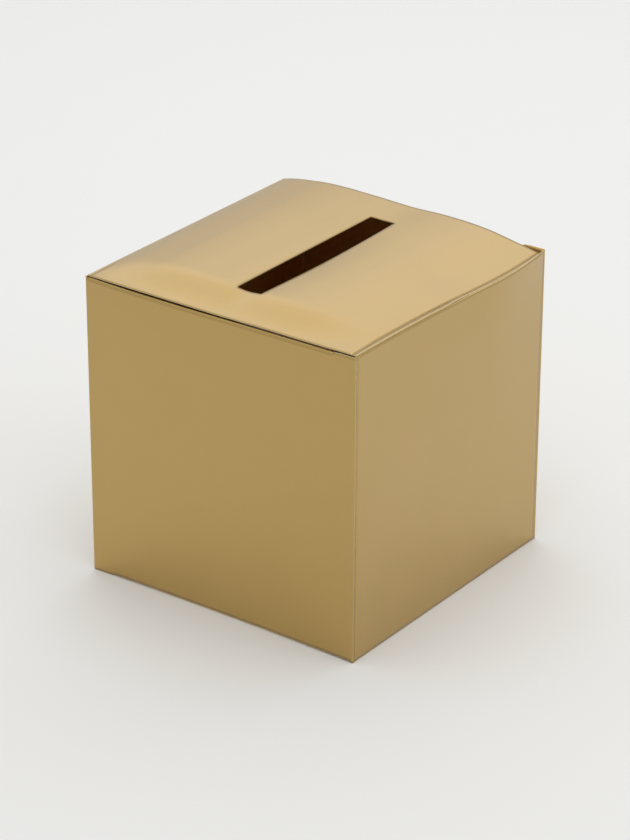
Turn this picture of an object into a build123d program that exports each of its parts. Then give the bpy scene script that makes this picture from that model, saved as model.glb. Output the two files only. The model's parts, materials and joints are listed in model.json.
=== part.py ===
from build123d import *
import os
from math import asin, degrees

# A wedding card box: one die-cut sheet of gold board, creased, glued down one corner and tucked shut
# at both ends. Each panel of the sheet is a piece of its own, and each crease is a hinge.
# Sizes are in millimetres. The origin is the centre of the base, on the table, and +Z is up.
# -X is the back, where the lid hinges. +X is the front, where the lid tucks in. -Y is the left.

# Box, outside
BOX_WIDTH = 254.0  # back wall to front wall, along X
BOX_DEPTH = 254.0  # left wall to right wall, along Y
BOX_HEIGHT = 254.0  # table to the top of the lid's hinge crease

# Board and fits
BOARD = 0.6  # thickness of the board
CREASE_GAP = 0.3  # clearance of a fixed panel's edge from the bead of the crease beside it
TUCK_CREASE_GAP = 0.6  # the same where a tuck flap folds in under its panel
PLY_GAP = 0.3  # clearance of two panels that lie against each other
END_GAP = 18.0  # from a dust flap's end to the tuck flap that swings past it
WALL_CLEARANCE = 1.0  # clearance of a flap's ends from the walls that it folds between

# Lid
LID_CROWN = 7.9  # how high the lid bulges above its creases
LID_DIP = 1.0  # how far the lid sags back at the slot, between its two crowns
LID_BACK_CROWN_AT = 0.29  # where the crown nearer the hinge is, as a share of the lid's reach
LID_DIP_AT = 0.515  # where the sag is
LID_FRONT_CROWN_AT = 0.64  # where the crown nearer the front is
LID_LEFT_SHARE = 0.15  # how much of the bulge is left at the lid's left edge, which lies flatter
LID_LEFT_BLEND = 43.0  # how far in from the left edge the bulge is whole
LID_BACK_SLOPE = 0.25  # how steeply the lid rises from its hinge crease
LID_FRONT_SLOPE = 0.2  # and falls to its tuck crease
LID_SIDE_INSET = 2.0  # from the side wall's outside to the lid's edge, at the hinge
LID_RIGHT_FRONT_INSET = 5.0  # the same on the right side, at the front, where the edge tapers in
SLOT_WIDTH = 23.0  # along X
SLOT_LENGTH = 174.0  # along Y

# Tuck flaps of the lid and of the bottom panel
TUCK_HEIGHT = 40.0
TUCK_SIDE_INSET = 4.0  # from the side wall's outside to the flap's end
TUCK_CORNER_RADIUS = 14.0
TUCK_SPARE_LEAN = 0.5  # degrees of lean more than the flap needs to swing past the wall's edge

# Dust flaps
TOP_DUST_DEPTH = 24.0  # short enough that none shows through the slot
BOTTOM_DUST_DEPTH = 76.0
DUST_FRONT_TAPER = 0.27  # sideways for each unit of depth, at the end by the tuck flap
DUST_CORNER_RADIUS = 8.0

# Walls
FRONT_WALL_BOW = 5.6  # how far the front wall's raw top edge springs outwards
FRONT_WALL_BOW_AT = 0.22  # where, as a share of the wall's length from its middle, towards +Y
LEFT_WALL_BOW = 2.2  # the same for the left wall
LEFT_WALL_BOW_AT = -0.2  # towards the back

# Glued seam at the back right corner
TAB_WIDTH = 20.0
TAB_TAPER = 10.0  # how much shorter the tab is along its free edge, at each end
TAB_END_GAP = 4.0  # from the wall's end to the tab's end, at its crease
GLUE = 0.1  # thickness of the glue line
GLUE_MARGIN = 3.0  # from the tab's edges to the glue
SEAM_SETBACK = 0.5  # from the back wall's outside to the right wall's raw end

# Worked out from those
HALF_WIDTH = BOX_WIDTH / 2
HALF_DEPTH = BOX_DEPTH / 2
BEAD = BOARD / 2  # radius of a crease's bead
CREASE_Z = BOX_HEIGHT - BEAD  # axis of the lid's creases
HINGE_X = -HALF_WIDTH + BEAD  # axis of the lid's hinge crease
TUCK_X = HALF_WIDTH - BOARD - PLY_GAP - BEAD  # axis of the lid's tuck crease
LID_REACH = TUCK_X - HINGE_X
PANEL_FRONT = TUCK_X - BEAD - TUCK_CREASE_GAP  # where the lid and the bottom panel end
TUCK_LEAN = degrees(asin(TUCK_HEIGHT / (2 * LID_REACH))) + TUCK_SPARE_LEAN
DUST_Z = CREASE_Z - BOARD - PLY_GAP  # axis of the top dust flaps' creases
DUST_Y = HALF_DEPTH - BEAD
BACK_WALL_TOP = CREASE_Z - BEAD - CREASE_GAP
SIDE_WALL_TOP = DUST_Z - BEAD - CREASE_GAP
SIDE_WALL_BOTTOM = BOX_HEIGHT - SIDE_WALL_TOP
FRONT_WALL_BOTTOM = BOX_HEIGHT - BACK_WALL_TOP
TAB_CREASE_Y = HALF_DEPTH - GLUE - 2 * BOARD  # centre of the bead where the tab turns in
MIDDLE = Pos(0, 0, BOX_HEIGHT / 2)


def slab(x, y, z):
    """A box between two limits along each axis."""
    size = Box(x[1] - x[0], y[1] - y[0], z[1] - z[0])
    return Pos(sum(x) / 2, sum(y) / 2, sum(z) / 2) * size


def to_bottom(piece):
    """The same piece turned half round about the box's middle, from the top end to the bottom end."""
    return MIDDLE * Rot(0, 180, 0) * MIDDLE.inverse() * piece


def bead_along_x(x, y, z, length):
    """A crease's round bead, centred on its fold line."""
    return Pos(x, y, z) * Rot(0, 90, 0) * Cylinder(BEAD, length)


def bead_along_y(x, y, z, length):
    return Pos(x, y, z) * Rot(90, 0, 0) * Cylinder(BEAD, length)


def wall_section(ends, z, bow, bow_at):
    """A wall cut across at height z: outside on y = 0, inside on y = BOARD, bowed towards -Y."""
    crest = (ends[0] + ends[1]) / 2 + bow_at * (ends[1] - ends[0])
    slopes = [(crest - ends[0], -bow), (1, 0), (ends[1] - crest, bow)]
    with BuildSketch(Plane.XY.offset(z)) as section:
        with BuildLine():
            for inward in (0.0, BOARD):
                start = (ends[0], inward)
                end = (ends[1], inward)
                if bow:
                    Spline(start, (crest, inward - bow), end, tangents=slopes)
                else:
                    Line(start, end)
            Line((ends[0], 0), (ends[0], BOARD))
            Line((ends[1], 0), (ends[1], BOARD))
        make_face()
    return section.sketch


def wall(ends, heights, bow=0.0, bow_at=0.0):
    """A wall panel in its own place: length along X, outside towards -Y, bowed at the top only."""
    low = wall_section(ends, heights[0], 0.0, bow_at)
    if not bow:
        return extrude(low, heights[1] - heights[0])
    high = wall_section(ends, heights[1], bow, bow_at)
    return loft([low.face(), high.face()], ruled=True)


def corner(x, y, turn, heights):
    """The quarter-round of board where two walls meet, about a centre one board inside both."""
    on_axis = (Align.NONE, Align.NONE, Align.CENTER)
    quarter = Cylinder(BOARD, heights[1] - heights[0], arc_size=90, align=on_axis)
    return Pos(x, y, sum(heights) / 2) * Rot(0, 0, turn) * quarter


def left_wall():
    heights = (SIDE_WALL_BOTTOM, SIDE_WALL_TOP)
    reach = HALF_WIDTH - BOARD
    panel = wall((-reach, reach), heights, LEFT_WALL_BOW, LEFT_WALL_BOW_AT)
    inner = -HALF_DEPTH + BOARD
    back = corner(-reach, inner, 180, heights)
    front = corner(reach, inner, 270, heights)
    return Pos(0, -HALF_DEPTH, 0) * panel + back + front


def right_wall():
    heights = (SIDE_WALL_BOTTOM, SIDE_WALL_TOP)
    panel = slab(
        (-HALF_WIDTH + SEAM_SETBACK, HALF_WIDTH - BOARD),
        (HALF_DEPTH - BOARD, HALF_DEPTH),
        heights,
    )
    return panel + corner(HALF_WIDTH - BOARD, HALF_DEPTH - BOARD, 0, heights)


def front_wall():
    heights = (FRONT_WALL_BOTTOM, BOX_HEIGHT)
    reach = HALF_DEPTH - BOARD
    panel = wall((-reach, reach), heights, FRONT_WALL_BOW, FRONT_WALL_BOW_AT)
    return Rot(0, 0, 90) * Pos(0, -HALF_WIDTH, 0) * panel


def back_wall():
    return slab(
        (-HALF_WIDTH, -HALF_WIDTH + BOARD),
        (-HALF_DEPTH + BOARD, TAB_CREASE_Y),
        (0, BACK_WALL_TOP),
    )


def glue_tab():
    """The narrow flap of the back wall that is glued inside the right wall."""
    x = (-HALF_WIDTH + BOARD, -HALF_WIDTH + BOARD + TAB_WIDTH)
    z = (SIDE_WALL_BOTTOM + TAB_END_GAP, SIDE_WALL_TOP - TAB_END_GAP)
    outline = Plane.XZ * Polygon(
        (x[0], z[0]),
        (x[1], z[0] + TAB_TAPER),
        (x[1], z[1] - TAB_TAPER),
        (x[0], z[1]),
        align=None,
    )
    panel = Pos(0, TAB_CREASE_Y, 0) * extrude(outline, -BOARD)
    return panel + corner(x[0], TAB_CREASE_Y, 90, z)


def glue_line():
    x = (-HALF_WIDTH + BOARD + GLUE_MARGIN, -HALF_WIDTH + BOARD + TAB_WIDTH - GLUE_MARGIN)
    inside = TAB_END_GAP + TAB_TAPER + GLUE_MARGIN
    y = (HALF_DEPTH - BOARD - GLUE, HALF_DEPTH - BOARD)
    return slab(x, y, (SIDE_WALL_BOTTOM + inside, SIDE_WALL_TOP - inside))


def lid_section(y, share):
    """The lid cut from back to front at y, with that share of its bulge."""
    knots = [
        (0.0, 0.0),
        (LID_BACK_CROWN_AT, LID_CROWN),
        (LID_DIP_AT, LID_CROWN - LID_DIP),
        (LID_FRONT_CROWN_AT, LID_CROWN),
        (1.0, 0.0),
    ]
    slopes = [(1, LID_BACK_SLOPE * share), (1, -LID_FRONT_SLOPE * share)]
    with BuildSketch(Plane.XZ.offset(-y)) as section:
        with BuildLine():
            for lift in (BEAD, -BEAD):
                points = [
                    (HINGE_X + at * LID_REACH, CREASE_Z + lift + share * rise)
                    for at, rise in knots
                ]
                Spline(*points, tangents=slopes)
            for x in (HINGE_X, TUCK_X):
                Line((x, CREASE_Z - BEAD), (x, CREASE_Z + BEAD))
        make_face()
    return section.sketch.face()


def lid_sheet(left, right):
    """The arched sheet between two side edges, flattening towards the left one."""
    whole = left + LID_LEFT_BLEND
    full = lid_section(whole, 1.0)
    flattening = loft([lid_section(left, LID_LEFT_SHARE), full], ruled=True)
    return flattening + extrude(full, right - whole, dir=(0, 1, 0))


def lid():
    """The top panel: arched from back to front, with the card slot across its middle."""
    left = -HALF_DEPTH + LID_SIDE_INSET
    right = HALF_DEPTH - LID_SIDE_INSET
    plan = Polygon(
        (HINGE_X, left),
        (PANEL_FRONT, left),
        (PANEL_FRONT, HALF_DEPTH - LID_RIGHT_FRONT_INSET),
        (HINGE_X, right),
        align=None,
    )
    floor = CREASE_Z - 2 * BOARD
    room = LID_CROWN + 4 * BOARD
    trimmed = lid_sheet(left, right) & Pos(0, 0, floor) * extrude(plan, room)
    slot = Pos(0, 0, floor + room / 2) * Box(SLOT_WIDTH, SLOT_LENGTH, room)
    return trimmed - slot + bead_along_y(HINGE_X, 0, CREASE_Z, right - left)


def bottom_panel():
    """The flat panel that the box stands on, made at the top end and turned to the bottom one."""
    width = BOX_DEPTH - 2 * LID_SIDE_INSET
    panel = slab(
        (HINGE_X, PANEL_FRONT),
        (-width / 2, width / 2),
        (CREASE_Z - BEAD, CREASE_Z + BEAD),
    )
    return to_bottom(panel + bead_along_y(HINGE_X, 0, CREASE_Z, width))


def tuck_flap():
    """A flap that hangs from its crease, leaning in so that it clears the wall as the panel lifts."""
    width = BOX_DEPTH - 2 * TUCK_SIDE_INSET
    outline = Rectangle(width, TUCK_HEIGHT, align=(Align.CENTER, Align.MAX))
    lower = outline.vertices().sort_by(Axis.Y)[:2]
    outline = fillet(lower, TUCK_CORNER_RADIUS)
    panel = extrude(Plane.YZ * outline, BEAD, both=True)
    hung = panel + bead_along_y(0, 0, 0, width)
    return Pos(TUCK_X, 0, CREASE_Z) * Rot(0, TUCK_LEAN, 0) * hung


def dust_flap(depth, side):
    """A flap folded in from a side wall, tapered at the hinge end so that it can follow the lid up."""
    back = -HALF_WIDTH + BOARD + WALL_CLEARANCE
    front = TUCK_X - BEAD - END_GAP
    taper = DUST_FRONT_TAPER * depth
    outline = Polygon(
        (back, 0), (back + depth, depth), (front - taper, depth), (front, 0), align=None
    )
    tips = outline.vertices().sort_by(Axis.Y)[-2:]
    outline = fillet(tips, DUST_CORNER_RADIUS)
    panel = extrude(outline, BEAD, both=True)
    flap = panel + bead_along_x((back + front) / 2, 0, 0, front - back)
    if side > 0:
        flap = mirror(flap, Plane.XZ)
    return Pos(0, side * DUST_Y, DUST_Z) * flap


PIECES = {
    "left_wall": left_wall(),
    "right_wall": right_wall(),
    "front_wall": front_wall(),
    "back_wall": back_wall(),
    "glue_tab": glue_tab(),
    "glue_line": glue_line(),
    "lid": lid(),
    "lid_tuck_flap": tuck_flap(),
    "top_dust_flap_left": dust_flap(TOP_DUST_DEPTH, -1),
    "top_dust_flap_right": dust_flap(TOP_DUST_DEPTH, 1),
    "bottom_panel": bottom_panel(),
    "bottom_tuck_flap": to_bottom(tuck_flap()),
    "bottom_dust_flap_left": to_bottom(dust_flap(BOTTOM_DUST_DEPTH, -1)),
    "bottom_dust_flap_right": to_bottom(dust_flap(BOTTOM_DUST_DEPTH, 1)),
}

os.makedirs("parts", exist_ok=True)
for name, piece in PIECES.items():
    export_step(piece, f"parts/{name}.step")

print(f"tuck flaps lean in by {TUCK_LEAN:.2f} degrees")
print(f"lid hinge at x {HINGE_X:.2f}, z {CREASE_Z:.2f}, tuck crease at x {TUCK_X:.2f}")
print(f"dust flap creases at y {DUST_Y:.2f}, z {DUST_Z:.2f}")
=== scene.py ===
# A wedding card box: one die-cut sheet of satin gold board, creased, glued down one corner and
# tucked shut, with an arched lid and a card slot. Each panel is a sheet of board of its own, and a
# narrow crease strip joins it to its neighbour.
import json
import math
import bpy
import numpy as np
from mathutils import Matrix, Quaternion, Vector


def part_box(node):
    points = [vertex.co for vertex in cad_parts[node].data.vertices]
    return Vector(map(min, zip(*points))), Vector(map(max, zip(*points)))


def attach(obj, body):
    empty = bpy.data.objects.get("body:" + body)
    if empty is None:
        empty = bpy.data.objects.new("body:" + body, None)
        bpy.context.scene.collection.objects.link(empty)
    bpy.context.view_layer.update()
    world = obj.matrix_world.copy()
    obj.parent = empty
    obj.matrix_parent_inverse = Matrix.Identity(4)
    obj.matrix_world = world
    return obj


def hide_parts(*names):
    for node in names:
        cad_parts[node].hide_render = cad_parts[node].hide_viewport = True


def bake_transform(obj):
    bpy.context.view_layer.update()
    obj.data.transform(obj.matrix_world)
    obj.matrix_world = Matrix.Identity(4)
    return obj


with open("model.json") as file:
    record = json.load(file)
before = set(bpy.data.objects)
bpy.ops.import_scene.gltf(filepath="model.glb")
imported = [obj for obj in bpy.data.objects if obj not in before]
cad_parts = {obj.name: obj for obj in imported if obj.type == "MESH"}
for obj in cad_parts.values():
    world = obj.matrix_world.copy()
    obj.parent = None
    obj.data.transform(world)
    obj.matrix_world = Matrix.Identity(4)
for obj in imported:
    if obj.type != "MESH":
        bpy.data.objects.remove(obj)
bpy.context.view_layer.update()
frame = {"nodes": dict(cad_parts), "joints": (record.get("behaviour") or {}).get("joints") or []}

# ---- sizes, in millimetres, from the fixed frame ----
MM = 0.001


def limits(node):
    """The lowest and highest corner of one part of the frame, in millimetres."""
    low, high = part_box(node)
    return np.array(low) / MM, np.array(high) / MM


back_low, back_high = limits("back_wall")
right_high = limits("right_wall")[1]
front_low, front_high = limits("front_wall")
lid_low = limits("lid")[0]
flap_low, flap_high = limits("lid_tuck_flap")
dust_low, dust_high = limits("top_dust_flap_left")
deep_high = limits("bottom_dust_flap_left")[1]
crease_axes = {joint["name"]: np.array(joint["pos_m"]) / MM for joint in frame["joints"]}

BACK = back_low[0]
FRONT = right_high[0]
RIGHT = right_high[1]
LEFT = -RIGHT
TOP = front_high[2]
BOARD = back_high[0] - back_low[0]
SPAN = FRONT - BACK
LID_EDGE = lid_low[1]
LID_REACH = flap_high[0] - BACK
SIDE_TOP = right_high[2]
BACK_TOP = back_high[2]
FRONT_BOTTOM = front_low[2]
DUST_FACE = dust_high[2]
DUST_CREASE = crease_axes["top_dust_left_crease"][1]
DUST_BACK = dust_low[0]
DUST_FRONT = dust_high[0]
FLAP_FOOT = flap_low[2]
FLAP_FOOT_X = flap_low[0] + BOARD
TUCK_HEIGHT = 40.0
DUST_TAPER = 0.27
FOLD_RADIUS = 0.9
SLOT_HALF_WIDTH = 11.5
SLOT_HALF_LENGTH = 87.0
TUCK_CORNER_RADIUS = 14.0
DUST_TIP_RADIUS = 8.0
TAB_TAPER = 10.0
LEFT_SHARE = 0.1  # how much of the arch is left at the lid's left edge
LEFT_BLEND = 43.0  # how far in from that edge the arch is whole
LEFT_DRAW = 1.3  # how far the left wall's bottom edge is drawn in


# ---- curves and fields that the panels follow ----
def through(stations, values, at):
    """A smooth curve through a few known heights, read anywhere along it."""
    stations = np.asarray(stations, float)
    values = np.asarray(values, float)
    slopes = np.gradient(values, stations)
    at = np.clip(at, stations[0], stations[-1])
    cell = np.clip(np.searchsorted(stations, at) - 1, 0, len(stations) - 2)
    span = stations[cell + 1] - stations[cell]
    t = (at - stations[cell]) / span
    start = (2 * t**3 - 3 * t**2 + 1) * values[cell] + (t**3 - 2 * t**2 + t) * span * slopes[cell]
    end = (3 * t**2 - 2 * t**3) * values[cell + 1] + (t**3 - t**2) * span * slopes[cell + 1]
    return start + end


def ease(t):
    """From 0 to 1 without a corner at either end."""
    t = np.clip(t, 0.0, 1.0)
    return t * t * (3 - 2 * t)


def arch(share):
    """How high the lid's arch stands, at a share of its reach from hinge to front fold."""
    at = [0.0, 0.046, 0.086, 0.126, 0.166, 0.205, 0.245, 0.284, 0.323, 0.401, 0.439, 0.478]
    rise = [0.0, 2.8, 4.5, 5.7, 6.9, 7.5, 7.8, 7.9, 7.75, 7.5, 7.2, 6.96]
    at += [0.516, 0.554, 0.592, 0.63, 0.67, 0.706, 0.743, 0.78, 0.818, 0.855, 0.892, 0.929, 1.0]
    rise += [6.8, 7.1, 7.5, 7.8, 7.75, 7.6, 7.2, 6.5, 5.5, 4.0, 2.4, 0.8, -2.3]
    return through(at, rise, share)


def front_bow(along):
    """How far the front wall's free top edge springs out, from its left end to its right."""
    at = [0.0, 0.1, 0.2, 0.3, 0.37, 0.44, 0.51, 0.58, 0.65, 0.72, 0.8, 0.88, 0.95, 1.0]
    out = [0.0, 0.1, 0.15, 0.7, 1.25, 1.8, 2.5, 3.3, 4.4, 5.44, 5.25, 3.8, 1.8, 0.0]
    return through(at, out, along)


def left_bow(along):
    """How far the left wall's top edge springs out, from its back end to its front."""
    at = [0.0, 0.05, 0.12, 0.2, 0.3, 0.4, 0.5, 0.65, 0.8, 1.0]
    out = [0.0, 0.75, 1.5, 2.0, 2.15, 2.05, 1.6, 0.8, 0.3, 0.0]
    return through(at, out, along)


def left_draw(along):
    """How far the same wall's bottom edge is drawn in."""
    return LEFT_DRAW * np.sin(math.pi * np.clip(along, 0, 1))


def fold_forward(along):
    """How far the lid's front fold pushes forward of its crease, into the front wall's bow."""
    at = [0.0, 0.2, 0.35, 0.5, 0.6, 0.72, 0.8, 0.9, 1.0]
    out = [0.0, 0.1, 0.8, 2.2, 2.9, 3.6, 3.5, 2.4, 0.4]
    return through(at, out, along)


def fold_height(along):
    """How high the lid's front fold lies against the front wall's top, from left to right."""
    at = [0.0, 0.2, 0.4, 0.5, 0.6, 0.8, 1.0]
    rise = [0.9, 0.9, 0.8, 0.5, -0.6, -1.9, -2.3]
    return through(at, rise, along)


def slot_give(x, y):
    """What the cut slot does to the lid round it: a slack long edge, and a curl at the near end."""
    length = np.sin(math.pi * np.clip((y + SLOT_HALF_LENGTH) / (2 * SLOT_HALF_LENGTH), 0, 1))
    beside = np.exp(-np.clip(x - SLOT_HALF_WIDTH, 0, None) / 16) * (x > 0)
    near = np.exp(-(((y + SLOT_HALF_LENGTH) / 18) ** 2))
    curl = -0.9 * np.exp(-(((x + 1) / 9) ** 2))
    past = ease((-SLOT_HALF_LENGTH - y) / 12)
    ridge = np.sqrt((x - SLOT_HALF_WIDTH) ** 2 + 4) * np.exp(-(((x - SLOT_HALF_WIDTH) / 16) ** 2))
    return -1.9 * length * beside + curl * near - 0.02 * ridge * past


def lid_face(x, y):
    """The lid's outside face over a place (x, y) of the flat panel."""
    reach = (x - BACK) / LID_REACH
    along = (y - LEFT) / SPAN
    kept = LEFT_SHARE + (1 - LEFT_SHARE) * ease((y - LID_EDGE) / LEFT_BLEND)
    rise = kept * arch(reach)
    rise += (fold_height(along) - kept * arch(1.0)) * ease((reach - 0.78) / 0.22)
    forward = fold_forward(along) * ease((x - 60) / (flap_high[0] - 60))
    inset = 3.0 * reach * ease((y - 90) / 35)
    inset += 0.75 * left_bow((x - BACK) / SPAN) * ease((-95 - y) / 30)
    return np.stack([x + forward, y - inset, TOP + rise + slot_give(x, y)], axis=-1)


# ---- board ----
def node_in(tree, kind, settings=None, links=None):
    """Adds one node, with its own settings, and its inputs set or joined to other nodes' sockets."""
    node = tree.nodes.new(kind)
    for name, value in (settings or {}).items():
        setattr(node, name, value)
    for name, value in (links or {}).items():
        socket = node.inputs[name]
        if isinstance(value, bpy.types.NodeSocket):
            tree.links.new(value, socket)
        else:
            socket.default_value = value
    return node


def linear(hex_colour):
    """An sRGB hex colour as the linear one that the shaders need."""
    parts = [int(hex_colour[i : i + 2], 16) / 255 for i in (1, 3, 5)]
    turned = [c / 12.92 if c <= 0.04045 else ((c + 0.055) / 1.055) ** 2.4 for c in parts]
    return (*turned, 1.0)


def per_mm(size):
    """The noise scale, in metres, of features about this many millimetres across."""
    return 1.0 / (size * MM)


def new_material(name):
    made = bpy.data.materials.new(name)
    made.use_nodes = True
    made.node_tree.nodes.clear()
    return made


def gold_laminated_paperboard():
    """Solid bleached board under a gold metallised film with a clear matt coat, rolled on flat: the
    sheet's outside face. The film gives a satin metal. The board's fibres telegraph through it as
    a faint mottle that runs up the sheet, and the roller leaves its gloss a little uneven."""
    made = new_material("gold laminated paperboard")
    tree = made.node_tree
    place = node_in(tree, "ShaderNodeTexCoord")
    # fibre bundles about 2.5 mm wide and 6 times as long, drawn this coarse so that they show
    grain = node_in(tree, "ShaderNodeMapping", None, {
        "Vector": place.outputs["Object"],
        "Scale": (1.0, 1.0, 0.16),
    })
    fibres = node_in(tree, "ShaderNodeTexNoise", None, {
        "Vector": grain.outputs["Vector"],
        "Scale": per_mm(2.5),
        "Detail": 3.0,
        "Roughness": 0.6,
    })
    # cloudiness of the film over some 40 mm
    clouds = node_in(tree, "ShaderNodeTexNoise", None, {
        "Vector": place.outputs["Object"],
        "Scale": per_mm(40.0),
        "Detail": 2.0,
        "Roughness": 0.5,
    })
    # the smallest grain of a matt film, near 0.8 mm
    tooth = node_in(tree, "ShaderNodeTexNoise", None, {
        "Vector": place.outputs["Object"],
        "Scale": per_mm(0.8),
        "Detail": 2.0,
        "Roughness": 0.7,
    })
    tone = node_in(tree, "ShaderNodeValToRGB", None, {"Fac": clouds.outputs["Fac"]})
    tone.color_ramp.elements[0].position = 0.3
    tone.color_ramp.elements[0].color = linear("#BC9C55")
    tone.color_ramp.elements[1].position = 0.7
    tone.color_ramp.elements[1].color = linear("#BE9D57")
    gloss = node_in(tree, "ShaderNodeMapRange", None, {
        "Value": fibres.outputs["Fac"],
        "From Min": 0.3,
        "From Max": 0.7,
        "To Min": 0.39,
        "To Max": 0.41,
    })
    waves = node_in(tree, "ShaderNodeBump", None, {
        "Height": fibres.outputs["Fac"],
        "Strength": 0.1,
        "Distance": 0.00002,
    })
    fine = node_in(tree, "ShaderNodeBump", None, {
        "Height": tooth.outputs["Fac"],
        "Normal": waves.outputs["Normal"],
        "Strength": 0.2,
        "Distance": 0.00001,
    })
    shader = node_in(tree, "ShaderNodeBsdfPrincipled", None, {
        "Base Color": tone.outputs["Color"],
        "Metallic": 1.0,
        "Roughness": gloss.outputs["Result"],
        "Normal": fine.outputs["Normal"],
        "Coat Weight": 1.0,
        "Coat Roughness": 0.3,
        "Coat IOR": 1.5,
    })
    node_in(tree, "ShaderNodeOutputMaterial", None, {"Surface": shader.outputs["BSDF"]})
    return made


def gold_inked_paperboard():
    """The sheet's inner face, printed with gold ink that has no film over it. Half of it is metal
    flake and half is binder, so it looks duller and warmer than the film outside."""
    made = new_material("gold inked paperboard")
    tree = made.node_tree
    place = node_in(tree, "ShaderNodeTexCoord")
    # ink lying unevenly on fibres about 1.2 mm across
    fibres = node_in(tree, "ShaderNodeTexNoise", None, {
        "Vector": place.outputs["Object"],
        "Scale": per_mm(1.2),
        "Detail": 3.0,
        "Roughness": 0.6,
    })
    tone = node_in(tree, "ShaderNodeValToRGB", None, {"Fac": fibres.outputs["Fac"]})
    tone.color_ramp.elements[0].position = 0.3
    tone.color_ramp.elements[0].color = linear("#E6B96B")
    tone.color_ramp.elements[1].position = 0.7
    tone.color_ramp.elements[1].color = linear("#EABE70")
    laid = node_in(tree, "ShaderNodeBump", None, {
        "Height": fibres.outputs["Fac"],
        "Strength": 0.3,
        "Distance": 0.00002,
    })
    shader = node_in(tree, "ShaderNodeBsdfPrincipled", None, {
        "Base Color": tone.outputs["Color"],
        "Metallic": 0.5,
        "Roughness": 0.5,
        "Specular IOR Level": 0.2,
        "Normal": laid.outputs["Normal"],
    })
    node_in(tree, "ShaderNodeOutputMaterial", None, {"Surface": shader.outputs["BSDF"]})
    return made


def die_cut_board_core():
    """The pale bleached fibre that a die leaves bare along a cut, dull and faintly layered."""
    made = new_material("die cut paperboard core")
    tree = made.node_tree
    place = node_in(tree, "ShaderNodeTexCoord")
    # torn fibres about 0.3 mm long
    fibres = node_in(tree, "ShaderNodeTexNoise", None, {
        "Vector": place.outputs["Object"],
        "Scale": per_mm(0.3),
        "Detail": 4.0,
        "Roughness": 0.65,
    })
    tone = node_in(tree, "ShaderNodeValToRGB", None, {"Fac": fibres.outputs["Fac"]})
    tone.color_ramp.elements[0].position = 0.3
    tone.color_ramp.elements[0].color = linear("#CDBB92")
    tone.color_ramp.elements[1].position = 0.7
    tone.color_ramp.elements[1].color = linear("#E0D2B0")
    torn = node_in(tree, "ShaderNodeBump", None, {
        "Height": fibres.outputs["Fac"],
        "Strength": 0.6,
        "Distance": 0.00004,
    })
    shader = node_in(tree, "ShaderNodeBsdfPrincipled", None, {
        "Base Color": tone.outputs["Color"],
        "Roughness": 0.9,
        "Normal": torn.outputs["Normal"],
    })
    node_in(tree, "ShaderNodeOutputMaterial", None, {"Surface": shader.outputs["BSDF"]})
    return made


def dried_white_glue():
    """PVA glue rolled on in a line and dried to a translucent, slightly glossy skin."""
    made = new_material("dried white glue")
    tree = made.node_tree
    place = node_in(tree, "ShaderNodeTexCoord")
    # roller stipple about 1.5 mm across
    stipple = node_in(tree, "ShaderNodeTexNoise", None, {
        "Vector": place.outputs["Object"],
        "Scale": per_mm(1.5),
        "Detail": 2.0,
    })
    tone = node_in(tree, "ShaderNodeValToRGB", None, {"Fac": stipple.outputs["Fac"]})
    tone.color_ramp.elements[0].color = linear("#CFC9B4")
    tone.color_ramp.elements[1].color = linear("#E4DFCF")
    skin = node_in(tree, "ShaderNodeBump", None, {
        "Height": stipple.outputs["Fac"],
        "Strength": 0.5,
        "Distance": 0.00005,
    })
    shader = node_in(tree, "ShaderNodeBsdfPrincipled", None, {
        "Base Color": tone.outputs["Color"],
        "Roughness": 0.38,
        "Normal": skin.outputs["Normal"],
    })
    node_in(tree, "ShaderNodeOutputMaterial", None, {"Surface": shader.outputs["BSDF"]})
    return made


laminate = gold_laminated_paperboard()
inked = gold_inked_paperboard()
core = die_cut_board_core()
glue = dried_white_glue()


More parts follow.
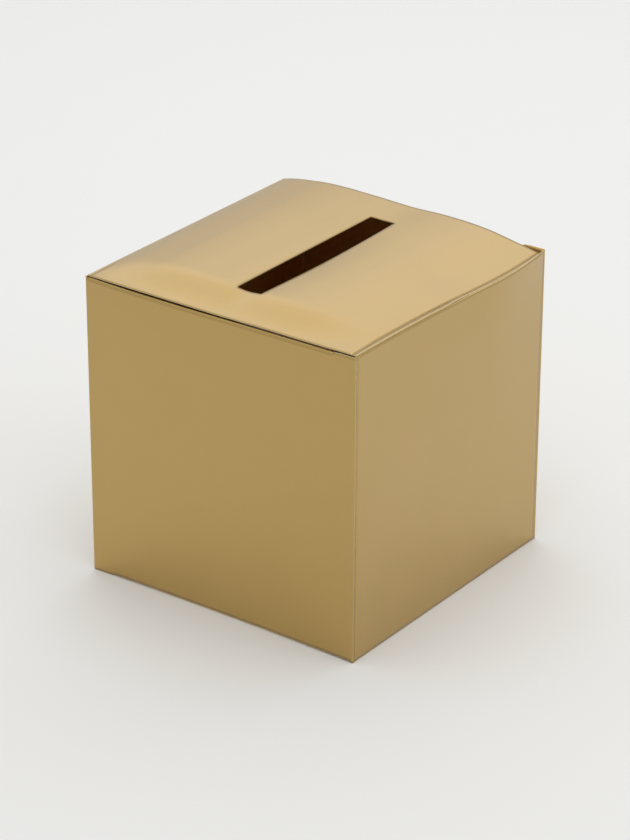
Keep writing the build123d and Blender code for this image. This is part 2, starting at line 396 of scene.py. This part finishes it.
def board_tree():
    """Turns the outside face of a panel into a sheet of board: gold film outside, gold ink inside,
    and a pale core on every cut edge."""
    tree = bpy.data.node_groups.new("board from its outside face", "GeometryNodeTree")
    face_in = tree.interface
    face_in.new_socket("Outside face", in_out="INPUT", socket_type="NodeSocketGeometry")
    face_in.new_socket("Board thickness", in_out="INPUT", socket_type="NodeSocketFloat")
    face_in.new_socket("Laminate", in_out="INPUT", socket_type="NodeSocketMaterial")
    face_in.new_socket("Inner face", in_out="INPUT", socket_type="NodeSocketMaterial")
    face_in.new_socket("Cut core", in_out="INPUT", socket_type="NodeSocketMaterial")
    face_in.new_socket("Sheet of board", in_out="OUTPUT", socket_type="NodeSocketGeometry")
    given = node_in(tree, "NodeGroupInput")
    face = given.outputs["Outside face"]
    depth = node_in(tree, "ShaderNodeMath", {"operation": "MULTIPLY"}, {
        0: given.outputs["Board thickness"],
        1: -1.0,
    })
    pressed = node_in(tree, "GeometryNodeExtrudeMesh", {"mode": "FACES"}, {
        "Mesh": face,
        "Offset Scale": depth.outputs["Value"],
        "Individual": False,
    })
    turned = node_in(tree, "GeometryNodeFlipFaces", None, {"Mesh": pressed.outputs["Mesh"]})
    both = node_in(tree, "GeometryNodeJoinGeometry")
    tree.links.new(turned.outputs["Mesh"], both.inputs["Geometry"])
    tree.links.new(face, both.inputs["Geometry"])
    welded = node_in(tree, "GeometryNodeMergeByDistance", None, {
        "Geometry": both.outputs["Geometry"],
        "Distance": 0.000002,
    })
    cut = pressed.outputs["Side"]
    uncut = node_in(tree, "FunctionNodeBooleanMath", {"operation": "NOT"}, {0: cut})
    smooth = node_in(tree, "GeometryNodeSetShadeSmooth", None, {
        "Geometry": welded.outputs["Geometry"],
        "Shade Smooth": uncut.outputs["Boolean"],
    })
    whole = node_in(tree, "GeometryNodeRealizeInstances", None, {
        "Geometry": smooth.outputs["Geometry"],
    })
    gilded = node_in(tree, "GeometryNodeSetMaterial", None, {
        "Geometry": whole.outputs["Geometry"],
        "Material": given.outputs["Laminate"],
    })
    lined = node_in(tree, "GeometryNodeSetMaterial", None, {
        "Geometry": gilded.outputs["Geometry"],
        "Selection": pressed.outputs["Top"],
        "Material": given.outputs["Inner face"],
    })
    edged = node_in(tree, "GeometryNodeSetMaterial", None, {
        "Geometry": lined.outputs["Geometry"],
        "Selection": cut,
        "Material": given.outputs["Cut core"],
    })
    node_in(tree, "NodeGroupOutput", None, {"Sheet of board": edged.outputs["Geometry"]})
    return tree


board_nodes = board_tree()
board_sockets = {
    item.name: item.identifier
    for item in board_nodes.interface.items_tree
    if item.in_out == "INPUT"
}


def board(name, face, missing=None):
    """A sheet of board from a grid of places on its outside face, less the cells that are cut out."""
    rows, columns = face.shape[:2]
    corner = np.arange(rows * columns).reshape(rows, columns)
    cells = np.stack([corner[:-1, :-1], corner[1:, :-1], corner[1:, 1:], corner[:-1, 1:]], axis=-1)
    cells = cells.reshape(-1, 4)
    if missing is not None:
        cells = cells[~missing.reshape(-1)]
    used, cells = np.unique(cells, return_inverse=True)
    places = face.reshape(-1, 3)[used] * MM
    mesh = bpy.data.meshes.new(name)
    mesh.from_pydata(places.tolist(), [], cells.reshape(-1, 4).tolist())
    mesh.materials.append(laminate)
    piece = bpy.data.objects.new(name, mesh)
    bpy.context.scene.collection.objects.link(piece)
    nodes = piece.modifiers.new("board", "NODES")
    nodes.node_group = board_nodes
    nodes[board_sockets["Board thickness"]] = BOARD * MM
    nodes[board_sockets["Laminate"]] = laminate
    nodes[board_sockets["Inner face"]] = inked
    nodes[board_sockets["Cut core"]] = core
    settled = piece.evaluated_get(bpy.context.evaluated_depsgraph_get())
    piece.data = bpy.data.meshes.new_from_object(settled)
    piece.data.name = name
    piece.modifiers.remove(nodes)
    return piece


def panel(name, face, body, node, missing=None):
    """A panel that stands for a part of the frame and moves with its body."""
    piece = board(name, face, missing)
    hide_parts(node)
    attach(piece, body)
    return piece


def crease(name, face):
    """A strip of board round a crease, between a fixed body and a folding one, built in place."""
    piece = board(name, face)
    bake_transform(piece)
    return piece


def unit(vectors):
    return vectors / np.linalg.norm(vectors, axis=-1, keepdims=True)


def rounded(start, corner, end, steps=8):
    """The run from start to end past a corner that is rounded to the radius of a fold, as rows."""
    back = unit(start - corner)
    on = unit(end - corner)
    half = np.arccos(np.clip(np.sum(back * on, axis=-1, keepdims=True), -1, 1)) / 2
    centre = corner + unit(back + on) * FOLD_RADIUS / np.sin(half)
    first = corner + back * FOLD_RADIUS / np.tan(half)
    last = corner + on * FOLD_RADIUS / np.tan(half)
    turn = math.pi - 2 * half
    rows = [start]
    for share in np.linspace(0, 1, steps + 1):
        a = np.sin((1 - share) * turn) / np.sin(turn)
        b = np.sin(share * turn) / np.sin(turn)
        rows.append(centre + a * (first - centre) + b * (last - centre))
    rows.append(end)
    return np.stack(rows)


def turn_over(face):
    """The same panel at the bottom end: half a turn about the box's middle."""
    return np.stack([-face[..., 0], face[..., 1], TOP - face[..., 2]], axis=-1)


def spread(*marks, step=3.0):
    """Stations from the first mark to the last, through each mark, no further apart than step."""
    stations = [float(marks[0])]
    for start, end in zip(marks, marks[1:]):
        count = max(1, math.ceil(abs(end - start) / step))
        stations += list(np.linspace(start, end, count + 1)[1:])
    return np.array(stations)


# ---- the four walls ----
CORNER = 0.7
NICK = 0.35  # how short the step is from a wall's raw edge down to a crease
SLOPE = 7.0  # how long the gentle slope above that step is
SIDES = {
    "left": ((BACK, LEFT), (1, 0), (0, -1)),
    "front": ((FRONT, LEFT), (0, 1), (1, 0)),
    "right": ((FRONT, RIGHT), (-1, 0), (0, 1)),
    "back": ((BACK, RIGHT), (0, -1), (-1, 0)),
}
long_end = DUST_BACK - BACK
short_end = FRONT - DUST_FRONT


def stepped(distance, run, outside, inside):
    """A wall's edge: one height where a crease runs along it, and another at its raw ends, which
    slopes towards the crease where there is room to, and steps down to it."""
    first, last = (min(SLOPE, end - CORNER - 0.3) for end in (run[0], SPAN - run[1]))
    between = 0.8 * outside + 0.2 * inside
    marks = [run[0] - first, run[0] - NICK, run[0], run[1], run[1] + NICK, run[1] + last]
    return np.interp(distance, marks, [outside, between, inside, inside, between, outside])


def wall_run(side, marks):
    """Places along one wall, at distances from the corner where it starts, with its edge heights
    and how far it bows out at the top and in at the bottom."""
    origin, direction, outward = (np.array(v, float) for v in SIDES[side])
    distance = spread(*marks)
    count = len(distance)
    share = (distance - CORNER) / (SPAN - 2 * CORNER)
    low = np.zeros(count)
    high = np.full(count, TOP)
    bow = np.zeros(count)
    draw = np.zeros(count)
    if side == "left":
        bow = left_bow(share)
        draw = left_draw(share)
        high = stepped(distance, (long_end, SPAN - short_end), TOP, SIDE_TOP)
        low = stepped(distance, (short_end, SPAN - long_end), 0.0, TOP - SIDE_TOP)
    if side == "right":
        high = stepped(distance, (short_end, SPAN - long_end), TOP, SIDE_TOP)
        low = stepped(distance, (long_end, SPAN - short_end), 0.0, TOP - SIDE_TOP)
    if side == "front":
        bow = front_bow(share)
        low = stepped(distance, (2.0, SPAN - 2.0), 0.0, FRONT_BOTTOM)
    if side == "back":
        high = stepped(distance, (2.0, SPAN - 2.0), TOP, BACK_TOP)
    place = origin + distance[:, None] * direction
    return np.column_stack([place, np.tile(outward, (count, 1)), low, high, bow, draw])


def wall_corner(side):
    """The rounded upright crease where one wall ends and the next, going round, begins."""
    origin, direction, outward = (np.array(v, float) for v in SIDES[side])
    centre = origin + direction * (SPAN - CORNER) - outward * CORNER
    turns = np.linspace(0, math.pi / 2, 8)[1:-1, None]
    facing = np.cos(turns) * outward + np.sin(turns) * direction
    count = len(turns)
    heights = np.tile([0.0, TOP, 0.0, 0.0], (count, 1))
    return np.column_stack([centre + facing * CORNER, facing, heights])


def wall_face(*runs):
    """The outside face of the walls over those runs, from the bottom edge to the top one."""
    run = np.concatenate(runs)
    place, outward = run[:, None, 0:2], run[:, None, 2:4]
    low, high, bow, draw = (run[:, None, k] for k in range(4, 8))
    share = np.concatenate([np.linspace(0, 0.02, 3), spread(0.04, 0.9, 0.98, step=0.02)])
    share = np.append(share, [0.99, 1.0])[None, :]
    height = low + (high - low) * share
    up = height / TOP
    out = bow * up**3 - draw * (1 - up) ** 3
    level = place + outward * out[..., None]
    return np.concatenate([level, height[..., None]], axis=-1)


far = SPAN - CORNER
front_marks = (3.0, SPAN - 3.0)
left_marks = (CORNER, CORNER + 0.3, long_end, 2.5, short_end - NICK, short_end, SPAN - short_end)
left_marks += (SPAN - short_end + NICK, SPAN - long_end, SPAN - long_end + NICK, far)
right_marks = tuple(SPAN - mark for mark in reversed(left_marks[2:]))
right_marks = (CORNER, CORNER + 0.3) + right_marks[1:-1] + (SPAN - long_end, SPAN - 0.5)

panel("left_wall_board", wall_face(
    wall_run("back", (SPAN - 3.0, far - 0.3, far)),
    wall_corner("back"),
    wall_run("left", left_marks),
    wall_corner("left"),
    wall_run("front", (CORNER, CORNER + 0.3, 3.0)),
), "walls", "left_wall")
panel("front_wall_board", wall_face(wall_run("front", front_marks)), "walls", "front_wall")
panel("right_wall_board", wall_face(
    wall_run("front", (SPAN - 3.0, far - 0.3, far)),
    wall_corner("front"),
    wall_run("right", right_marks),
), "walls", "right_wall")

# the back wall starts at the glue tab's crease, one board and a line of glue inside the corner
tab_low, tab_high = limits("glue_tab")
tab_face = tab_high[1]
back_start = RIGHT - tab_face + CORNER
panel("back_wall_board", wall_face(
    wall_run("back", (back_start + 0.3, 6.0, SPAN - 3.0)),
), "walls", "back_wall")


def glue_tab_face():
    """The tab, tapered towards its free edge, and the crease that turns it into the back wall."""
    free = spread(tab_high[0], BACK + CORNER + 0.3, step=2.5)
    turns = np.linspace(0, math.pi / 2, 8)
    x = np.concatenate([free, BACK + CORNER - CORNER * np.sin(turns), [BACK]])
    y = np.concatenate([np.full(len(free), tab_face), tab_face - CORNER + CORNER * np.cos(turns)])
    y = np.append(y, tab_face - CORNER - 0.3)
    taper = TAB_TAPER * np.clip((x - BACK - CORNER) / (tab_high[0] - BACK - CORNER), 0, 1)
    share = np.linspace(0, 1, 60)[None, :]
    low = (tab_low[2] + taper)[:, None]
    high = (tab_high[2] - taper)[:, None]
    height = low + (high - low) * share
    return np.stack([x[:, None] + 0 * share, y[:, None] + 0 * share, height], axis=-1)


panel("glue_tab_board", glue_tab_face(), "walls", "glue_tab")
frame["nodes"]["glue_line"].data.materials.clear()
frame["nodes"]["glue_line"].data.materials.append(glue)


# ---- the lid, its hinge crease and its tuck flap ----
HINGE_STRIP = 3.0
FOLD_STRIP = 3.0
fold_at = flap_high[0]
lid_ends = (BACK + HINGE_STRIP, fold_at - FOLD_STRIP)
lid_x = spread(lid_ends[0], -SLOT_HALF_WIDTH, SLOT_HALF_WIDTH, lid_ends[1], step=2.5)
lid_y = spread(LID_EDGE, -SLOT_HALF_LENGTH, SLOT_HALF_LENGTH, -LID_EDGE, step=2.5)
flat_x, flat_y = np.meshgrid(lid_x, lid_y, indexing="ij")
middle_x = (flat_x[:-1, :-1] + flat_x[1:, 1:]) / 2
middle_y = (flat_y[:-1, :-1] + flat_y[1:, 1:]) / 2
card_slot = (abs(middle_x) < SLOT_HALF_WIDTH) & (abs(middle_y) < SLOT_HALF_LENGTH)
panel("lid_board", lid_face(flat_x, flat_y), "lid", "lid", card_slot)


def along_hinge(across):
    """One row of the lid's outside face, along the hinge, at a distance across from the back."""
    return lid_face(np.full(len(lid_y), BACK + across), lid_y)


def hinge_crease_face():
    """From the back wall's top edge round the hinge crease on to the lid."""
    lid_row = along_hinge(HINGE_STRIP)
    back_plane = np.full(len(lid_y), BACK)
    wall_row = np.column_stack([back_plane, lid_row[:, 1], np.full(len(lid_y), BACK_TOP)])
    slope = (along_hinge(1.6) - along_hinge(1.0)) / 0.6
    meeting = along_hinge(1.3)[:, 2] - 1.3 * slope[:, 2]
    turn = np.column_stack([back_plane, lid_row[:, 1], meeting])
    turn[:, 2] = np.maximum(turn[:, 2], BACK_TOP + FOLD_RADIUS + 0.02)
    rows = rounded(wall_row, turn, along_hinge(1.6))
    rows = np.concatenate([rows[1:-1], along_hinge(1.6)[None], along_hinge(2.2)[None], lid_row[None]])
    rows[0] = wall_row
    return rows


crease("lid_hinge_crease", hinge_crease_face())

FLAP_NECK = 7.5


def tuck_face(fold):
    """The tuck flap below its neck, from the row where the lid folds down to its rounded foot."""
    rows = []
    radius = TUCK_CORNER_RADIUS
    for down in spread(FLAP_NECK, TUCK_HEIGHT - radius, TUCK_HEIGHT, step=1.5):
        share = down / TUCK_HEIGHT
        corner = max(0.0, down - (TUCK_HEIGHT - radius))
        trim = radius - math.sqrt(max(radius**2 - corner**2, 0.0))
        height = TOP + (FLAP_FOOT - TOP) * share
        x = fold[:, 0] * (1 - share) + FLAP_FOOT_X * share
        centre = (fold[0, 1] + fold[-1, 1]) / 2
        half = (fold[-1, 1] - fold[0, 1]) / 2
        y = centre + (fold[:, 1] - centre) * (half - 1.5 - trim) / half
        rows.append(np.column_stack([x, y, np.full(len(x), height)]))
    return np.stack(rows)


fold_row = lid_face(np.full(len(lid_y), fold_at), lid_y)
flap_face = tuck_face(fold_row)
panel("lid_tuck_board", flap_face, "lid_tuck", "lid_tuck_flap")


def fold_crease_face(start, fold, end):
    """From a panel's front row round the fold to the neck of its tuck flap."""
    rows = rounded(start, fold, end)
    below = spread(0.0, 1.0, step=0.1)[1:, None, None]
    neck = rows[-2] + below * (end - rows[-2])
    return np.concatenate([rows[:-1], neck])


def over_the_wall(strip):
    """The same strip with its fold bulging over the front wall's top edge, on its left half."""
    x, y, z = strip[..., 0], strip[..., 1], strip[..., 2]
    along = (y - LEFT) / SPAN
    left_half = ease((0.54 - along) / 0.1)
    above = ease((z - TOP + 0.05) / 0.3)
    ahead = ease((x - fold_at + FOLD_STRIP) / FOLD_STRIP)
    gap = front_bow(along) + FRONT - fold_at - fold_forward(along)
    bulge = np.clip(gap, 0, None) * left_half * above * ahead
    return np.stack([x + bulge, y, z], axis=-1)


lid_front_row = lid_face(np.full(len(lid_y), fold_at - FOLD_STRIP), lid_y)
lid_fold = over_the_wall(fold_crease_face(lid_front_row, fold_row, flap_face[0]))
crease("lid_tuck_crease", lid_fold)


# ---- the bottom panel and its tuck flap, as the lid's but flat ----
def flat_rows(x, y):
    grid_x, grid_y = np.meshgrid(x, y, indexing="ij")
    return np.stack([grid_x, grid_y, np.full(grid_x.shape, TOP)], axis=-1)


base_y = spread(LID_EDGE, -LID_EDGE, step=6.0)
base_x = spread(BACK + HINGE_STRIP, fold_at - FOLD_STRIP, step=6.0)
base_fold = flat_rows([fold_at], base_y)[0]
base_flap = tuck_face(base_fold)
base_wall = flat_rows([BACK], base_y)[0]
base_wall[:, 2] = TOP - FRONT_BOTTOM - 0.02
base_hinge = rounded(
    base_wall,
    flat_rows([BACK], base_y)[0],
    flat_rows([BACK + HINGE_STRIP], base_y)[0],
)
panel("bottom_board", turn_over(flat_rows(base_x, base_y)), "bottom", "bottom_panel")
panel("bottom_tuck_board", turn_over(base_flap), "bottom_tuck", "bottom_tuck_flap")
crease("bottom_hinge_crease", turn_over(base_hinge))
base_front = flat_rows([fold_at - FOLD_STRIP], base_y)[0]
crease("bottom_tuck_crease", turn_over(fold_crease_face(base_front, base_fold, base_flap[0])))


# ---- the dust flaps, folded in from the side walls ----
def dust_edges(down, depth):
    """Where a dust flap's two ends are at a distance down from its crease, with rounded tips."""
    radius = DUST_TIP_RADIUS
    limits_x = []
    for crease_x, lean in ((DUST_BACK, 1.0), (-DUST_FRONT, DUST_TAPER)):
        slant = math.sqrt(1 + lean**2)
        tip_x = crease_x + lean * (depth - radius) + radius * slant
        tangent = depth - radius + radius * lean / slant
        if down > tangent:
            limits_x.append(tip_x - math.sqrt(max(radius**2 - (down - depth + radius) ** 2, 0.0)))
        else:
            limits_x.append(crease_x + lean * down)
    return limits_x[0], -limits_x[1]


def dust_flap(name, side, edge, depth, neck, bottom):
    """One dust flap and the crease strip that joins it to the side wall's edge."""
    across = np.linspace(0, 1, 90)

    def row(down):
        low, high = dust_edges(down, depth)
        x = low + (high - low) * across
        return np.column_stack([x, np.full(len(x), DUST_CREASE + down), np.full(len(x), DUST_FACE)])

    face = np.stack([row(down) for down in spread(neck, depth - DUST_TIP_RADIUS, depth, step=3.0)])
    wall_x = DUST_BACK + (DUST_FRONT - DUST_BACK) * across
    wall_y = edge(wall_x)
    wall_row = np.column_stack([wall_x, wall_y, np.full(len(wall_x), SIDE_TOP - 0.02)])
    turn = np.column_stack([wall_x, wall_y, np.full(len(wall_x), DUST_FACE)])
    strip = rounded(wall_row, turn, face[0])
    start = np.array((0.0, LEFT + BOARD, 0.0))
    end = np.array((0.0, DUST_CREASE + neck, 0.0))
    if bottom:
        start[1] = LEFT + BOARD + 1.4
    if side == "right":
        face = face[:, ::-1] * (1, -1, 1)
        strip = strip[:, ::-1] * (1, -1, 1)
        start[1] *= -1
        end[1] *= -1
    face = face[:, ::-1]
    strip = strip[:, ::-1]
    if bottom:
        face = turn_over(face)
        strip = turn_over(strip)
    body = name.replace("_flap", "")
    panel(name + "_board", face, body, name)
    crease(body + "_crease", strip)


def left_top_edge(x):
    share = (x - BACK - CORNER) / (SPAN - 2 * CORNER)
    return LEFT - left_bow(share) * (SIDE_TOP / TOP) ** 3


def left_bottom_edge(x):
    share = (-x - BACK - CORNER) / (SPAN - 2 * CORNER)
    return LEFT + left_draw(share) * (SIDE_TOP / TOP) ** 3


def plain_edge(x):
    return np.full(len(x), LEFT)


dust_flap("top_dust_flap_left", "left", left_top_edge, dust_high[1] - DUST_CREASE, 2.6, False)
dust_flap("top_dust_flap_right", "right", plain_edge, dust_high[1] - DUST_CREASE, 2.6, False)
dust_flap("bottom_dust_flap_left", "left", left_bottom_edge, deep_high[1] - DUST_CREASE, 5.0, True)
dust_flap("bottom_dust_flap_right", "right", plain_edge, deep_high[1] - DUST_CREASE, 5.0, True)


# ---- floor, light and camera ----
FLOOR_GAP = 0.1
def floor():
    """A plain pale floor, wide enough to reach the horizon, and a hair below the box's bottom panel
    so that the two don't lie in one plane."""
    mesh = bpy.data.meshes.new("floor")
    reach = 30.0
    level = -FLOOR_GAP * MM
    sides = [(-reach, -reach), (reach, -reach), (reach, reach), (-reach, reach)]
    corners = [(x, y, level) for x, y in sides]
    mesh.from_pydata(corners, [], [(0, 1, 2, 3)])
    made = bpy.data.objects.new("floor", mesh)
    bpy.context.scene.collection.objects.link(made)
    paint = new_material("matt white studio floor")
    tree = paint.node_tree
    shader = node_in(tree, "ShaderNodeBsdfPrincipled", None, {
        "Base Color": linear("#F4F4F2"),
        "Roughness": 0.9,
        "Specular IOR Level": 0.2,
    })
    node_in(tree, "ShaderNodeOutputMaterial", None, {"Surface": shader.outputs["BSDF"]})
    mesh.materials.append(paint)


def softbox(name, place, aim, width, height, radiance):
    """A flat soft light of a given brightness, aimed at a point, and not seen itself."""
    light = bpy.data.lights.new(name, "AREA")
    light.shape = "RECTANGLE"
    light.size = width
    light.size_y = height
    light.energy = radiance * math.pi * width * height
    made = bpy.data.objects.new(name, light)
    made.location = place
    made.rotation_mode = "QUATERNION"
    made.rotation_quaternion = (Vector(aim) - Vector(place)).to_track_quat("-Z", "Y")
    made.visible_camera = False
    bpy.context.scene.collection.objects.link(made)


def camera():
    """A long lens, above and to the right of the box's near upright corner."""
    azimuth = math.radians(36.287)
    elevation = math.radians(25.711)
    lens = bpy.data.cameras.new("camera")
    lens.lens = 140.08
    lens.sensor_width = 36.0
    made = bpy.data.objects.new("camera", lens)
    made.location = (1.37479, -1.87524, 1.23858)
    away = Vector((
        math.sin(azimuth) * math.cos(elevation),
        -math.cos(azimuth) * math.cos(elevation),
        math.sin(elevation),
    ))
    made.rotation_mode = "QUATERNION"
    roll = Quaternion((0, 0, 1), math.radians(0.16))
    made.rotation_quaternion = (-away).to_track_quat("-Z", "Y") @ roll
    bpy.context.scene.collection.objects.link(made)
    bpy.context.scene.camera = made


floor()
BOX_MIDDLE = (0.0, 0.0, 0.15)


def around(azimuth, elevation, distance):
    """A place seen from the box at an azimuth, in degrees from the left side, and an elevation."""
    turn = math.radians(azimuth)
    lift = math.radians(elevation)
    level = distance * math.cos(lift)
    return level * math.sin(turn), -level * math.cos(turn), 0.15 + distance * math.sin(lift)


softbox("overhead, wide", (0.0, 0.0, 2.6), BOX_MIDDLE, 2.2, 2.2, 0.81)
softbox("overhead, small", (0.0, 0.0, 1.8), BOX_MIDDLE, 0.9, 0.9, 0.45)
softbox("back, high", around(216, 50, 2.4), BOX_MIDDLE, 2.2, 1.0, 0.47)
softbox("back, middle", around(216, 33, 2.4), BOX_MIDDLE, 2.4, 0.7, 0.74)
softbox("back right", around(170, 35, 2.4), BOX_MIDDLE, 1.2, 1.0, 0.44)
softbox("right", around(100, 25, 2.4), BOX_MIDDLE, 1.4, 1.2, 0.77)
softbox("front, high", around(36, 60, 2.6), BOX_MIDDLE, 1.6, 1.0, 0.59)
world = bpy.data.worlds.new("studio")
world.use_nodes = True
world.node_tree.nodes["Background"].inputs["Color"].default_value = (1, 1, 1, 1)
world.node_tree.nodes["Background"].inputs["Strength"].default_value = 0.63
bpy.context.scene.world = world
bpy.context.scene.view_settings.view_transform = "Standard"
camera()
